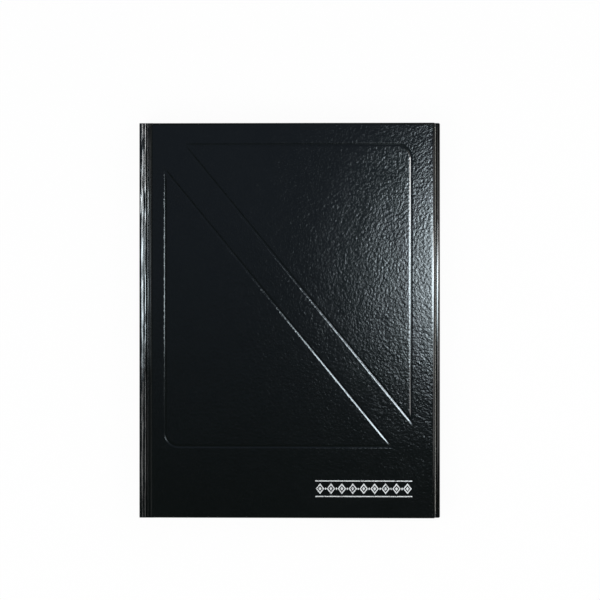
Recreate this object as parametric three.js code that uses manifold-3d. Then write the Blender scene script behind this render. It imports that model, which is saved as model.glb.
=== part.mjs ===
// A hardbound cash book that lies on its back cover, with its spine at the left.
// Folded sections are sewn over three tapes, and the block hangs in a leather case:
// two boards and a stiff spine, with a sunk joint along each side of the spine.
// Millimetres. +X runs from the spine to the fore-edge, +Y to the head, +Z out of the front cover.
import * as THREE from 'three';
import { mergeVertices } from 'three/addons/utils/BufferGeometryUtils.js';
import Module from 'manifold-3d';

const wasm = await Module();
wasm.setup();

// Leaves and folded sections
const leafWidth = 210;
const leafHeight = 280;
const sectionCount = 8;
const sectionThickness = 2.2;
const foldSlit = 0.1;
const foldWall = 0.8;
const flyleafThickness = 0.2;
const flyleafSetback = 1;
const leafRoot = 3;
const rootGap = 0.3;

// Sewing
const threadDiameter = 0.4;
const threadRoom = 0.9;
const needleHole = 0.9;
const tapeCount = 3;
const tapeWidth = 15;
const tapeThickness = 0.3;
const tapeSpacing = 75;
const stitchFromTape = 0.9;
const kettleFromEdge = 12;

// What is glued on the spine of the block
const mullThickness = 0.2;
const mullFromEdge = 15;
const mullWing = 25;
const liningThickness = 0.3;
const liningFromEdge = 3;
const headbandDiameter = 1.8;
const headbandTab = 8;

// The case
const leatherThickness = 0.4;
const boardThickness = 2.3;
const boardCorner = 1;
const boardEdge = 0.9;
const square = 3;
const turnIn = 15;
const pastedownThickness = 0.2;
const sinkSlope = 1;
const spineBoardThickness = 1.5;
const spineBoardEdge = 1.4;
const spineHollow = 0.55;

// The joint between spine and board
const jointWidth = 5.6;
const ridgeWidth = 4.15;
const grooveFromSpine = 6.3;
const grooveWidth = 0.5;
const jointLap = 0.7;
const jointSteps = 7;

// Blind lines pressed into the front cover
const lineFromSpine = 18.1;
const lineFromForeEdge = 18.95;
const lineFromHead = 16.4;
const lineFromTail = 52.4;
const lineCorner = 10;
const bandAcross = 14;
const bandDown = 18.3;
const lineWidth = 1.1;
const lineFloor = 0.5;
const lineDepth = 0.25;

// Air between pieces that lie on each other, and the facets of round stretches
const air = 0.05;
const arcSteps = 2;
const edgeSteps = 3;
const foldSteps = 8;
const threadSides = 6;
const headbandSides = 10;

// Stack of a cover, counted outwards from the flyleaf
const pastedownLow = air;
const pastedownTop = pastedownLow + pastedownThickness;
const turnInLow = pastedownTop + air;
const turnInTop = turnInLow + leatherThickness;
const boardLow = turnInTop + air;
const boardTop = boardLow + boardThickness;
const leatherLow = boardTop + air;
const coverTop = leatherLow + leatherThickness;

// Heights from the table up
const backFlyleafLow = coverTop;
const leavesLow = backFlyleafLow + flyleafThickness + air;
const sectionPitch = sectionThickness + air;
const leavesTop = leavesLow + sectionCount * sectionPitch - air;
const frontFlyleafLow = leavesTop + air;
const blockTop = frontFlyleafLow + flyleafThickness;
const bookThickness = blockTop + coverTop;

// Places from the outer face of the spine to the fore-edge
const spineStack = leatherThickness + air + spineBoardThickness + spineHollow + liningThickness
  + air + mullThickness + air + threadDiameter + air + tapeThickness + air;
const bookWidth = spineStack + leafWidth + square;
const spineOuter = -bookWidth / 2;
const spineBoardOuter = spineOuter + leatherThickness + air;
const spineBoardInner = spineBoardOuter + spineBoardThickness;
const liningOuter = spineBoardInner + spineHollow;
const liningInner = liningOuter + liningThickness;
const mullOuter = liningInner + air;
const mullInner = mullOuter + mullThickness;
const threadOutside = mullInner + air + threadDiameter / 2;
const tapeOuter = threadOutside + threadDiameter / 2 + air;
const tapeInner = tapeOuter + tapeThickness;
const spineFace = tapeInner + air;
const foreEdge = spineFace + leafWidth;
const coverEdge = foreEdge + square;
const boardSpineEdge = spineFace + jointWidth;

// Half heights, along the spine
const leafHalf = leafHeight / 2;
const coverHalf = leafHalf + square;
const boardHalf = coverHalf - leatherThickness - air;
const mullHalf = leafHalf - mullFromEdge;
const kettleHalf = leafHalf - kettleFromEdge;

const leather = new THREE.MeshStandardMaterial({ color: 0x14171a, roughness: 0.35 });
const board = new THREE.MeshStandardMaterial({ color: 0x8f8c86, roughness: 0.95 });
const endpaper = new THREE.MeshStandardMaterial({ color: 0xf0ece0, roughness: 0.85 });
const page = new THREE.MeshStandardMaterial({ color: 0xefe9d8, roughness: 0.85 });
const mull = new THREE.MeshStandardMaterial({ color: 0xe8e2d0, roughness: 0.95 });
const kraft = new THREE.MeshStandardMaterial({ color: 0xa8845a, roughness: 0.9 });
const linen = new THREE.MeshStandardMaterial({ color: 0xe3dac2, roughness: 0.95 });
const cotton = new THREE.MeshStandardMaterial({ color: 0xf2eee2, roughness: 0.9 });

const book = new THREE.Group();

// A closed mesh as a solid that can be joined and cut
function solid(geometry) {
  const bare = geometry.clone();
  bare.deleteAttribute('normal');
  bare.deleteAttribute('uv');
  const merged = mergeVertices(bare, 1e-5);
  const mesh = new wasm.Mesh({
    numProp: 3,
    vertProperties: new Float32Array(merged.attributes.position.array),
    triVerts: new Uint32Array(merged.index.array),
  });
  return new wasm.Manifold(mesh);
}

function geometryOf(cut) {
  const mesh = cut.getMesh();
  const geometry = new THREE.BufferGeometry();
  geometry.setAttribute('position', new THREE.BufferAttribute(mesh.vertProperties, 3));
  geometry.setIndex(new THREE.BufferAttribute(mesh.triVerts, 1));
  geometry.computeVertexNormals();
  return geometry;
}

function addPiece(parent, name, geometry, material) {
  const mesh = new THREE.Mesh(geometry, material);
  mesh.name = name;
  parent.add(mesh);
}

// A box between two values on each axis
function boxGeometry(x0, x1, y0, y1, z0, z1) {
  const box = new THREE.BoxGeometry(x1 - x0, y1 - y0, z1 - z0);
  return box.translate((x0 + x1) / 2, (y0 + y1) / 2, (z0 + z1) / 2);
}

function extrude(shape, depth) {
  return new THREE.ExtrudeGeometry(shape, { depth, bevelEnabled: false, curveSegments: arcSteps });
}

// An outline drawn in X and Z, drawn out along Y from -half to half
function alongSpine(shape, half) {
  return extrude(shape, 2 * half).rotateX(Math.PI / 2).translate(0, half, 0);
}

function shapeOf(points) {
  return new THREE.Shape(points.map(([x, y]) => new THREE.Vector2(x, y)));
}

function roundedRectangle(x0, x1, y0, y1, radius) {
  const shape = new THREE.Shape();
  shape.moveTo(x0 + radius, y0);
  shape.lineTo(x1 - radius, y0);
  shape.absarc(x1 - radius, y0 + radius, radius, -Math.PI / 2, 0, false);
  shape.lineTo(x1, y1 - radius);
  shape.absarc(x1 - radius, y1 - radius, radius, 0, Math.PI / 2, false);
  shape.lineTo(x0 + radius, y1);
  shape.absarc(x0 + radius, y1 - radius, radius, Math.PI / 2, Math.PI, false);
  shape.lineTo(x0, y0 + radius);
  shape.absarc(x0 + radius, y0 + radius, radius, Math.PI, 1.5 * Math.PI, false);
  return shape;
}

// A flat plate with round corners seen from above, and round edges all along
function plateGeometry(x0, x1, half, z0, z1, corner, edge) {
  const inner = roundedRectangle(x0 + edge, x1 - edge, edge - half, half - edge, corner - edge);
  const plate = new THREE.ExtrudeGeometry(inner, {
    depth: z1 - z0 - 2 * edge,
    bevelThickness: edge,
    bevelSize: edge,
    bevelSegments: edgeSteps,
    curveSegments: arcSteps,
  });
  return plate.translate(0, 0, z0 + edge);
}

// A block whose outline shrinks by the slope from height z0 to height z1
function taperedGeometry(x0, x1, half, z0, z1, slope) {
  const block = boxGeometry(x0, x1, -half, half, z0, z1);
  const at = block.attributes.position;
  const middle = (x0 + x1) / 2;
  for (let i = 0; i < at.count; i++) {
    if (Math.abs(at.getZ(i) - z1) < Math.abs(at.getZ(i) - z0)) {
      at.setX(i, at.getX(i) - Math.sign(at.getX(i) - middle) * slope);
      at.setY(i, at.getY(i) - Math.sign(at.getY(i)) * slope);
    }
  }
  return block;
}

// Rings of equal length, each joined to the next by a band of faces
function ringsGeometry(rings, closed) {
  const sides = rings[0].length;
  const faces = [];
  const bands = closed ? rings.length : rings.length - 1;
  for (let i = 0; i < bands; i++) {
    const near = i * sides;
    const far = ((i + 1) % rings.length) * sides;
    for (let k = 0; k < sides; k++) {
      const next = (k + 1) % sides;
      faces.push(near + k, far + k, far + next);
      faces.push(near + k, far + next, near + next);
    }
  }
  if (!closed) {
    const last = (rings.length - 1) * sides;
    for (let k = 1; k < sides - 1; k++) {
      faces.push(0, k, k + 1);
      faces.push(last, last + k + 1, last + k);
    }
  }
  const geometry = new THREE.BufferGeometry().setFromPoints(rings.flat());
  return geometry.setIndex(faces);
}

// A thread through a line of points, mitred where it turns
function threadGeometry(points, diameter, sides) {
  const steps = points.slice(1).map((point, i) => point.clone().sub(points[i]).normalize());
  const side = new THREE.Vector3(0, 0, 1);
  const up = side.clone().cross(steps[0]);
  let around = Array.from({ length: sides }, (_, k) => {
    const angle = (2 * Math.PI * k) / sides;
    const across = side.clone().multiplyScalar(Math.cos(angle) * diameter / 2);
    return across.addScaledVector(up, Math.sin(angle) * diameter / 2);
  });
  const ringAt = (i, offsets) => offsets.map((offset) => offset.clone().add(points[i]));
  const rings = [ringAt(0, around)];
  for (let i = 1; i < points.length - 1; i++) {
    const into = steps[i - 1];
    const out = steps[i];
    const mitre = into.clone().add(out).normalize();
    const corner = around.map((o) => {
      return o.clone().addScaledVector(into, -o.dot(mitre) / into.dot(mitre));
    });
    rings.push(ringAt(i, corner));
    around = corner.map((c) => c.clone().addScaledVector(out, -c.dot(out)));
  }
  rings.push(ringAt(points.length - 1, around));
  return ringsGeometry(rings, false);
}

// The cutter for a closed pressed line: wide at the surface, narrow at its floor
function grooveGeometry(line, surface) {
  const count = line.length;
  const rings = line.map((point, i) => {
    const into = point.clone().sub(line[(i + count - 1) % count]).normalize();
    const out = line[(i + 1) % count].clone().sub(point).normalize();
    const outward = new THREE.Vector2(into.y + out.y, -into.x - out.x);
    outward.divideScalar(1 + into.dot(out));
    const floor = surface - lineDepth;
    const proud = surface + lineDepth;
    const widthAt = (height) => lineFloor + (lineWidth - lineFloor) * (height - floor) / lineDepth;
    const place = (height, way) => {
      const away = way * widthAt(height) / 2;
      return new THREE.Vector3(point.x + outward.x * away, point.y + outward.y * away, height);
    };
    return [place(proud, 1), place(proud, -1), place(floor, -1), place(floor, 1)];
  });
  return ringsGeometry(rings, true);
}

// One of the two triangles of pressed lines: two sides, a round corner and the diagonal
function triangleLine(turned) {
  const left = spineOuter + lineFromSpine;
  const right = coverEdge - lineFromForeEdge;
  const top = coverHalf - lineFromHead;
  const bottom = lineFromTail - coverHalf;
  const shape = new THREE.Shape();
  shape.moveTo(right, bottom + bandDown);
  shape.lineTo(right, top - lineCorner);
  shape.absarc(right - lineCorner, top - lineCorner, lineCorner, 0, Math.PI / 2, false);
  shape.lineTo(left + bandAcross, top);
  const points = shape.getPoints(edgeSteps);
  if (turned) {
    for (const point of points) {
      point.set(left + right - point.x, top + bottom - point.y);
    }
  }
  return points;
}

// The folded sections, each a U of leaves with its fold at the spine. The front leaves of the
// first section are a piece of their own, because they turn.
const threadInside = spineFace + foldWall + threadRoom / 2;
const roomEnd = spineFace + foldWall + threadRoom;

function sectionLow(number) {
  return leavesLow + (sectionCount - number) * sectionPitch;
}

function sectionMiddle(number) {
  return sectionLow(number) + sectionThickness / 2;
}

function sectionOutline(number) {
  const low = sectionLow(number);
  const middle = sectionMiddle(number);
  const upperEnd = number === 1 ? spineFace + leafRoot : foreEdge;
  const radius = sectionThickness / 2;
  const points = [[foreEdge, low]];
  for (let i = 0; i <= foldSteps; i++) {
    const angle = -Math.PI / 2 - (Math.PI * i) / foldSteps;
    const x = spineFace + radius + radius * Math.cos(angle);
    points.push([x, middle + radius * Math.sin(angle)]);
  }
  points.push([upperEnd, low + sectionThickness]);
  points.push([upperEnd, middle + foldSlit / 2]);
  points.push([roomEnd + threadRoom / 2, middle + foldSlit / 2]);
  points.push([roomEnd, middle + threadRoom / 2]);
  points.push([roomEnd - threadRoom, middle + threadRoom / 2]);
  points.push([roomEnd - threadRoom, middle - threadRoom / 2]);
  points.push([roomEnd, middle - threadRoom / 2]);
  points.push([roomEnd + threadRoom / 2, middle - foldSlit / 2]);
  points.push([foreEdge, middle - foldSlit / 2]);
  return points;
}

const tapePlaces = Array.from({ length: tapeCount }, (_, i) => {
  return (i - (tapeCount - 1) / 2) * tapeSpacing;
});
const stitchHalf = tapeWidth / 2 + stitchFromTape;
const needlePlaces = [
  -kettleHalf,
  ...tapePlaces.flatMap((y) => [y - stitchHalf, y + stitchHalf]),
  kettleHalf,
];

for (let number = 1; number <= sectionCount; number++) {
  let section = solid(alongSpine(shapeOf(sectionOutline(number)), leafHalf));
  const holeLength = foldWall + threadRoom;
  for (const y of needlePlaces) {
    const hole = new THREE.CylinderGeometry(needleHole / 2, needleHole / 2, holeLength, threadSides);
    hole.rotateZ(Math.PI / 2).translate(spineFace + foldWall / 2, y, sectionMiddle(number));
    section = section.subtract(solid(hole));
  }
  addPiece(book, `section_${number}`, geometryOf(section), page);
}

// The leaves that turn first: the front half of section 1, free of its fold
function firstLeavesGeometry() {
  const low = sectionMiddle(1) + foldSlit / 2;
  const top = sectionLow(1) + sectionThickness;
  const start = spineFace + leafRoot + rootGap;
  const soft = (top - low) / 4;
  return alongSpine(shapeOf([
    [start, low + soft],
    [start + soft, low],
    [foreEdge, low],
    [foreEdge, top],
    [start + soft, top],
    [start, top - soft],
  ]), leafHalf);
}
addPiece(book, 'first_leaves', firstLeavesGeometry(), page);

// The sewing thread: along the inside of each fold, out and over every tape, and at the
// end of each section across to the next one
function sewingPoints() {
  const points = [];
  for (let number = sectionCount; number >= 1; number--) {
    const way = (sectionCount - number) % 2 ? -1 : 1;
    const z = sectionMiddle(number);
    points.push(new THREE.Vector3(threadInside, -way * kettleHalf, z));
    for (const place of tapePlaces) {
      const near = way * place - way * stitchHalf;
      const far = way * place + way * stitchHalf;
      points.push(new THREE.Vector3(threadInside, near, z));
      points.push(new THREE.Vector3(threadOutside, near, z));
      points.push(new THREE.Vector3(threadOutside, far, z));
      points.push(new THREE.Vector3(threadInside, far, z));
    }
    points.push(new THREE.Vector3(threadInside, way * kettleHalf, z));
    if (number > 1) {
      points.push(new THREE.Vector3(threadOutside, way * kettleHalf, z));
      points.push(new THREE.Vector3(threadOutside, way * kettleHalf, sectionMiddle(number - 1)));
    }
  }
  return points;
}
addPiece(book, 'sewing_thread', threadGeometry(sewingPoints(), threadDiameter, threadSides), cotton);

tapePlaces.forEach((y, i) => {
  const half = tapeWidth / 2;
  const tape = boxGeometry(tapeOuter, tapeInner, y - half, y + half, leavesLow, leavesTop);
  addPiece(book, `sewing_tape_${i + 1}`, tape, linen);
});

// Mull and kraft paper down the spine of the block
const mullSheet = boxGeometry(
  mullOuter, mullInner, -mullHalf, mullHalf, leavesLow, leavesTop);
addPiece(book, 'spine_mull', mullSheet, mull);
const liningHalf = leafHalf - liningFromEdge;
const liningSheet = boxGeometry(
  liningOuter, liningInner, -liningHalf, liningHalf, leavesLow, leavesTop);
addPiece(book, 'spine_lining', liningSheet, kraft);

// A headband: a bead on the edge of the leaves, with a tab glued down on the folds
function headbandGeometry(way) {
  const radius = headbandDiameter / 2;
  const bead = new THREE.CylinderGeometry(radius, radius, leavesTop - leavesLow, headbandSides);
  bead.rotateX(Math.PI / 2);
  const beadY = way * (leafHalf + air + radius);
  bead.translate(tapeOuter + radius, beadY, (leavesLow + leavesTop) / 2);
  const tabEnd = way * (leafHalf - headbandTab);
  const low = Math.min(tabEnd, beadY);
  const high = Math.max(tabEnd, beadY);
  const tab = boxGeometry(tapeOuter, tapeInner, low, high, leavesLow, leavesTop);
  return geometryOf(solid(bead).add(solid(tab)));
}
addPiece(book, 'headband', headbandGeometry(1), linen);
addPiece(book, 'tailband', headbandGeometry(-1), linen);

// The stiff spine: a board with round long edges, wrapped in leather that is turned in
// over its ends
function spineOutline(x0, x1, margin, radius) {
  const shape = new THREE.Shape();
  shape.moveTo(x1, margin);
  shape.lineTo(x1, bookThickness - margin);
  shape.lineTo(x0 + radius, bookThickness - margin);
  shape.absarc(x0 + radius, bookThickness - margin - radius, radius, Math.PI / 2, Math.PI, false);
  shape.lineTo(x0, margin + radius);
  shape.absarc(x0 + radius, margin + radius, radius, Math.PI, 1.5 * Math.PI, false);
  return shape;
}
const wrap = leatherThickness + air;
const spineBoardOutline = spineOutline(spineBoardOuter, spineBoardInner, wrap, spineBoardEdge);
addPiece(book, 'spine_board', alongSpine(spineBoardOutline, boardHalf), board);

function spineLeatherGeometry() {
  const inside = spineBoardInner + air;
  const turnedIn = inside + leatherThickness;
  const outer = solid(alongSpine(
    spineOutline(spineOuter, turnedIn, 0, spineBoardEdge + wrap), coverHalf));
  const room = solid(alongSpine(
    spineOutline(spineBoardOuter - air, inside, leatherThickness, spineBoardEdge + air),
    boardHalf + air));
  const open = solid(boxGeometry(
    inside, turnedIn + air, turnIn - coverHalf, coverHalf - turnIn, -air, bookThickness + air));
  const lip = leatherThickness + 2 * air;
  const lowLip = solid(boxGeometry(
    inside, turnedIn + air, -coverHalf - air, coverHalf + air, -air, lip));
  const highLip = solid(boxGeometry(
    inside, turnedIn + air, -coverHalf - air, coverHalf + air,
    bookThickness - lip, bookThickness + air));
  return geometryOf(outer.subtract(room).subtract(open).subtract(lowLip).subtract(highLip));
}
addPiece(book, 'spine_leather', spineLeatherGeometry(), leather);

// A cover, drawn with its height counted outwards from the flyleaf
function coverLeatherGeometry(pressed) {
  const start = boardSpineEdge + jointLap + air;
  const past = boardSpineEdge - turnIn;
  const outer = solid(plateGeometry(
    past, coverEdge, coverHalf, turnInLow, coverTop, boardCorner + wrap, boardEdge + wrap));
  const room = solid(plateGeometry(
    past - turnIn, coverEdge - leatherThickness, boardHalf + air, boardLow - air, boardTop + air,
    boardCorner + air, boardEdge + air));
  const window = solid(boxGeometry(
    past - turnIn, coverEdge - turnIn, turnIn - coverHalf, coverHalf - turnIn,
    turnInLow - air, boardLow));
  const hinge = solid(boxGeometry(
    past - air, start, -coverHalf - air, coverHalf + air, turnInLow - air, coverTop + air));
  let wrapped = outer.subtract(room).subtract(window).subtract(hinge);
  for (const way of [-1, 1]) {
    const seam = boxGeometry(-turnIn, turnIn, -air, air, turnInLow - air, boardLow);
    seam.rotateZ(way * Math.PI / 4).translate(coverEdge - turnIn, way * (coverHalf - turnIn), 0);
    wrapped = wrapped.subtract(solid(seam));
  }
  if (pressed) {
    for (const turned of [false, true]) {
      wrapped = wrapped.subtract(solid(grooveGeometry(triangleLine(turned), coverTop)));
    }
  }
  return geometryOf(wrapped);
}

// The sheet pasted inside a cover: it lies on the turned-in leather and sinks to the board
function pastedownGeometry() {
  const sink = leatherThickness - air;
  const nearSide = boardSpineEdge + mullWing + sinkSlope;
  const farSide = coverEdge - turnIn - sinkSlope;
  const half = coverHalf - turnIn - sinkSlope;
  const sheet = solid(boxGeometry(
    boardSpineEdge, foreEdge, -leafHalf, leafHalf, pastedownLow, pastedownTop));
  const tray = solid(taperedGeometry(
    nearSide, farSide, half, pastedownLow, pastedownTop + sink, sinkSlope));
  const inset = pastedownThickness;
  const hollow = solid(taperedGeometry(
    nearSide + inset, farSide - inset, half - inset, pastedownLow - air, pastedownLow + sink,
    sinkSlope));
  return geometryOf(sheet.add(tray).subtract(hollow));
}

function addCover(side, group, pressed) {
  const boardPlate = plateGeometry(
    boardSpineEdge, coverEdge - wrap, boardHalf, boardLow, boardTop, boardCorner, boardEdge);
  addPiece(group, `${side}_board`, boardPlate, board);
  addPiece(group, `${side}_cover_leather`, coverLeatherGeometry(pressed), leather);
  addPiece(group, `${side}_pastedown`, pastedownGeometry(), endpaper);
  const wing = boxGeometry(
    boardSpineEdge, boardSpineEdge + mullWing, -mullHalf, mullHalf,
    boardLow - air - mullThickness, boardLow - air);
  addPiece(group, `${side}_mull_wing`, wing, mull);
}

// The joint: leather that dips from the ridge of the spine into the groove and climbs the
// edge of the board, with the mull and the fold of the endpaper under it
function easeBetween(from, to, share) {
  return from + (to - from) * share * share * (3 - 2 * share);
}

function jointLine() {
  const crest = coverTop - leatherThickness / 2;
  const paperTop = air + flyleafThickness;
  const floor = paperTop + air + mullThickness + air + leatherThickness / 2;
  const ridgeStart = spineBoardInner + 2 * air;
  const fallStart = spineOuter + ridgeWidth;
  const climbEnd = boardSpineEdge - leatherThickness / 2 - air;
  const grooveMiddle = spineOuter + grooveFromSpine;
  const grooveStart = grooveMiddle - grooveWidth / 2;
  const grooveEnd = grooveMiddle + grooveWidth / 2;
  const points = [new THREE.Vector2(ridgeStart, crest)];
  for (let i = 0; i <= jointSteps; i++) {
    const share = i / jointSteps;
    const x = fallStart + (grooveStart - fallStart) * share;
    points.push(new THREE.Vector2(x, easeBetween(crest, floor, share)));
  }
  for (let i = 0; i <= jointSteps; i++) {
    const share = i / jointSteps;
    const x = grooveEnd + (climbEnd - grooveEnd) * share;
    points.push(new THREE.Vector2(x, easeBetween(floor, crest, share)));
  }
  points.push(new THREE.Vector2(boardSpineEdge + jointLap, crest));
  return points;
}

function jointLeatherGeometry() {
  const line = jointLine();
  const last = line.length - 1;
  const normals = line.map((point, i) => {
    const way = line[Math.min(i + 1, last)].clone().sub(line[Math.max(i - 1, 0)]).normalize();
    return new THREE.Vector2(-way.y, way.x).multiplyScalar(leatherThickness / 2);
  });
  normals[0].set(0, leatherThickness / 2);
  normals[last].set(0, leatherThickness / 2);
  const over = line.map((point, i) => point.clone().add(normals[i]));
  const under = line.map((point, i) => point.clone().sub(normals[i])).reverse();
  return alongSpine(new THREE.Shape([...over, ...under]), coverHalf);
}

function addJoint(side, group) {
  addPiece(group, `${side}_joint_leather`, jointLeatherGeometry(), leather);
  const paperTop = air + flyleafThickness;
  const paper = boxGeometry(
    spineFace + air, boardSpineEdge - air, -leafHalf, leafHalf, air, paperTop);
  addPiece(group, `${side}_endpaper_joint`, paper, endpaper);
  const mullStrip = boxGeometry(
    mullOuter, boardSpineEdge - air, -mullHalf, mullHalf,
    paperTop + air, paperTop + air + mullThickness);
  addPiece(group, `${side}_joint_mull`, mullStrip, mull);
}

// The front side stands on the block, and the back side is the same turned over
const front = new THREE.Group();
front.position.z = blockTop;
addCover('front', front, true);
addJoint('front', front);
const back = new THREE.Group();
back.position.z = coverTop;
back.rotation.x = Math.PI;
addCover('back', back, false);
addJoint('back', back);
book.add(front, back);

function flyleafGeometry(low) {
  return boxGeometry(
    spineFace + flyleafSetback, foreEdge, -leafHalf, leafHalf, low, low + flyleafThickness);
}
addPiece(book, 'front_flyleaf', flyleafGeometry(frontFlyleafLow), endpaper);
addPiece(book, 'back_flyleaf', flyleafGeometry(backFlyleafLow), endpaper);

export default book;
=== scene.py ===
# %% [markdown]
# A cash book in Blender. The imported model gives every piece its size, place and motion.
# This script dresses it: leather with a pebble grain, folded sheets of ledger paper,
# sewn headbands and the leather of a case with grooved joints. Each step is told before its code.
# Lengths are written in millimetres and turned into metres by one factor.

# %% Load the imported frame
import math
import bmesh
import bpy
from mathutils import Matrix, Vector, noise


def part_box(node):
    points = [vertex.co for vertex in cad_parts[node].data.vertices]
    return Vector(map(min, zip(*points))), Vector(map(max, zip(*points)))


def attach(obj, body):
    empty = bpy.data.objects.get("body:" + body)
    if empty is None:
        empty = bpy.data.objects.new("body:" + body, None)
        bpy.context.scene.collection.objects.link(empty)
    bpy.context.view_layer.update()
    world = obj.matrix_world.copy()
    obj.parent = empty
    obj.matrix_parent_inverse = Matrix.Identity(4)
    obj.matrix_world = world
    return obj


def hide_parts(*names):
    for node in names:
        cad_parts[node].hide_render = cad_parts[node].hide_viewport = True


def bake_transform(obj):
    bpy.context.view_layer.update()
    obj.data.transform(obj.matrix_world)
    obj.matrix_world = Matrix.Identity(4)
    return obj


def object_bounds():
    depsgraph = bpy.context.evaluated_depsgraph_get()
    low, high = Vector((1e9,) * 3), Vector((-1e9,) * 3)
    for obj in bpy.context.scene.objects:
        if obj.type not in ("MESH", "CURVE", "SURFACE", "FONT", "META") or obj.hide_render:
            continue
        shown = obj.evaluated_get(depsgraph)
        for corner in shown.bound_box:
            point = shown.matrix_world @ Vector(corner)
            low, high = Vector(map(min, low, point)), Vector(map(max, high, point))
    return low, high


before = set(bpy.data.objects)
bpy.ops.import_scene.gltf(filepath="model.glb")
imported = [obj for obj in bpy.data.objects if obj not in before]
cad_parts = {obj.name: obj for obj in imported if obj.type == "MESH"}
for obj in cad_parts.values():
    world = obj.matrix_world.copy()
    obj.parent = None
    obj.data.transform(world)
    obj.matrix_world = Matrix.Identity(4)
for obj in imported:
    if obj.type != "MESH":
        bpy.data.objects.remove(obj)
cad_low, cad_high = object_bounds()
MM = 0.001
print("CAD box in mm:", [round((b - a) / MM, 2) for a, b in zip(cad_low, cad_high)])

# %% [markdown]
# The sizes below repeat the real book: how far its leather, boards and leaves reach.

# %% Sizes of the case and the block
half_length = cad_high.y / MM
book_top = cad_high.z / MM
middle = book_top / 2
spine_side = cad_low.x / MM
fore_side = cad_high.x / MM
leather = 0.4
clearance = 0.03
cover_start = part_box("front_joint_leather")[1].x / MM
cover_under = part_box("front_cover_leather")[0].z / MM
board_low, board_high = (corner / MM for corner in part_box("front_board"))
print("front leather from", round(cover_start, 2), "to", round(fore_side, 2), "mm")

# %% [markdown]
# Modelling by hand means opening a piece, picking faces or edges, and using an operator on
# them. These helpers do the opening and the picking. An operator acts on all that is
# selected, and the loaded nodes come in selected, so everything is let go first.

# %% Helpers for opening and picking
def let_go():
    bpy.ops.object.select_all(action="DESELECT")


def alone(piece):
    let_go()
    piece.select_set(True)
    bpy.context.view_layer.objects.active = piece


def open_piece(piece):
    alone(piece)
    bpy.ops.object.mode_set(mode="EDIT")
    bpy.ops.mesh.select_mode(type="FACE")


def close_piece():
    bpy.ops.object.mode_set(mode="OBJECT")


def pick_all():
    bpy.ops.mesh.select_all(action="SELECT")


def pick(piece, kind, test):
    bpy.ops.mesh.select_mode(type=kind)
    bpy.ops.mesh.select_all(action="DESELECT")
    mesh = bmesh.from_edit_mesh(piece.data)
    items = {"VERT": mesh.verts, "EDGE": mesh.edges, "FACE": mesh.faces}[kind]
    found = [item for item in items if test(item)]
    for item in found:
        item.select_set(True)
    mesh.select_flush_mode()
    bmesh.update_edit_mesh(piece.data)
    return len(found)


def centre(item):
    if isinstance(item, bmesh.types.BMFace):
        return item.calc_center_median() / MM
    return sum((v.co for v in item.verts), Vector()) / len(item.verts) / MM


def near(a, b, within=0.01):
    return abs(a - b) < within


def along(edge, axis):
    step = edge.verts[1].co - edge.verts[0].co
    return abs(step[axis]) > 0.999 * step.length


# %% Helpers for shaping an opened piece
def extrude(x, y, z):
    step = (x * MM, y * MM, z * MM)
    bpy.ops.mesh.extrude_region_move(TRANSFORM_OT_translate={"value": step})


def face_outwards():
    pick_all()
    bpy.ops.mesh.normals_make_consistent(inside=False)


def turn_half(axis, x, y, z):
    pick_all()
    pivot = (x * MM, y * MM, z * MM)
    bpy.ops.transform.rotate(value=math.pi, orient_axis=axis, center_override=pivot)


def turn_to_back(piece):
    """Turns a piece of the front over the middle of the book, to be a piece of the back."""
    open_piece(piece)
    turn_half("X", 0, 0, middle)
    close_piece()


# %% Helpers for starting and finishing a piece
def settle(piece):
    alone(piece)
    bpy.ops.object.transform_apply(location=True, rotation=True, scale=True)


def box(name, low, high):
    size = [(b - a) * MM for a, b in zip(low, high)]
    place = [(a + b) / 2 * MM for a, b in zip(low, high)]
    let_go()
    bpy.ops.mesh.primitive_cube_add(size=1, location=place)
    piece = bpy.context.object
    piece.name = name
    piece.scale = size
    settle(piece)
    return piece


def flat_plane(low, high, z):
    """A level face between two corners in X and Y."""
    let_go()
    bpy.ops.mesh.primitive_plane_add(size=1)
    piece = bpy.context.object
    piece.scale = ((high[0] - low[0]) * MM, (high[1] - low[1]) * MM, 1)
    piece.location = ((low[0] + high[0]) / 2 * MM, (low[1] + high[1]) / 2 * MM, z * MM)
    settle(piece)
    return piece


def modify(piece, kind, **settings):
    alone(piece)
    modifier = piece.modifiers.new(kind.title(), kind)
    for key, value in settings.items():
        setattr(modifier, key, value)
    bpy.ops.object.modifier_apply(modifier=modifier.name)


def cut_away(piece, *cutters):
    for cutter in cutters:
        modify(piece, "BOOLEAN", operation="DIFFERENCE", object=cutter, solver="EXACT")
        bpy.data.objects.remove(cutter)


def join(name, pieces):
    let_go()
    for piece in pieces:
        piece.select_set(True)
    bpy.context.view_layer.objects.active = pieces[0]
    bpy.ops.object.join()
    pieces[0].name = name
    return pieces[0]


def smooth(piece, angle=30, weighted=False):
    alone(piece)
    bpy.ops.object.shade_smooth_by_angle(angle=math.radians(angle))
    if weighted:
        modify(piece, "WEIGHTED_NORMAL", keep_sharp=True, weight=100)


def finish_piece(piece, material):
    piece.data.materials.clear()
    piece.data.materials.append(material)
    triangles = sum(len(face.vertices) - 2 for face in piece.data.polygons)
    print(piece.name, triangles, "triangles")


# %% [markdown]
# Black bookbinding leather is cow hide with a plated finish: a layer of tiny pebbles, glossy
# on top. Grain could be modelled, but a pebble is about a millimetre wide, so it is a
# height that a Bump node turns into tilted normals. The grain is a node group with its own
# inputs, because the covers, the spine and the joints all use it, each with its values.

# %% Node helpers
def new_group(name, inputs, outputs):
    group = bpy.data.node_groups.new(name, "ShaderNodeTree")
    for label, kind, value in inputs:
        socket = group.interface.new_socket(label, in_out="INPUT", socket_type=kind)
        if value is not None:
            socket.default_value = value
    for label, kind in outputs:
        group.interface.new_socket(label, in_out="OUTPUT", socket_type=kind)
    enter = group.nodes.new("NodeGroupInput")
    leave = group.nodes.new("NodeGroupOutput")
    return group, enter, leave


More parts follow.
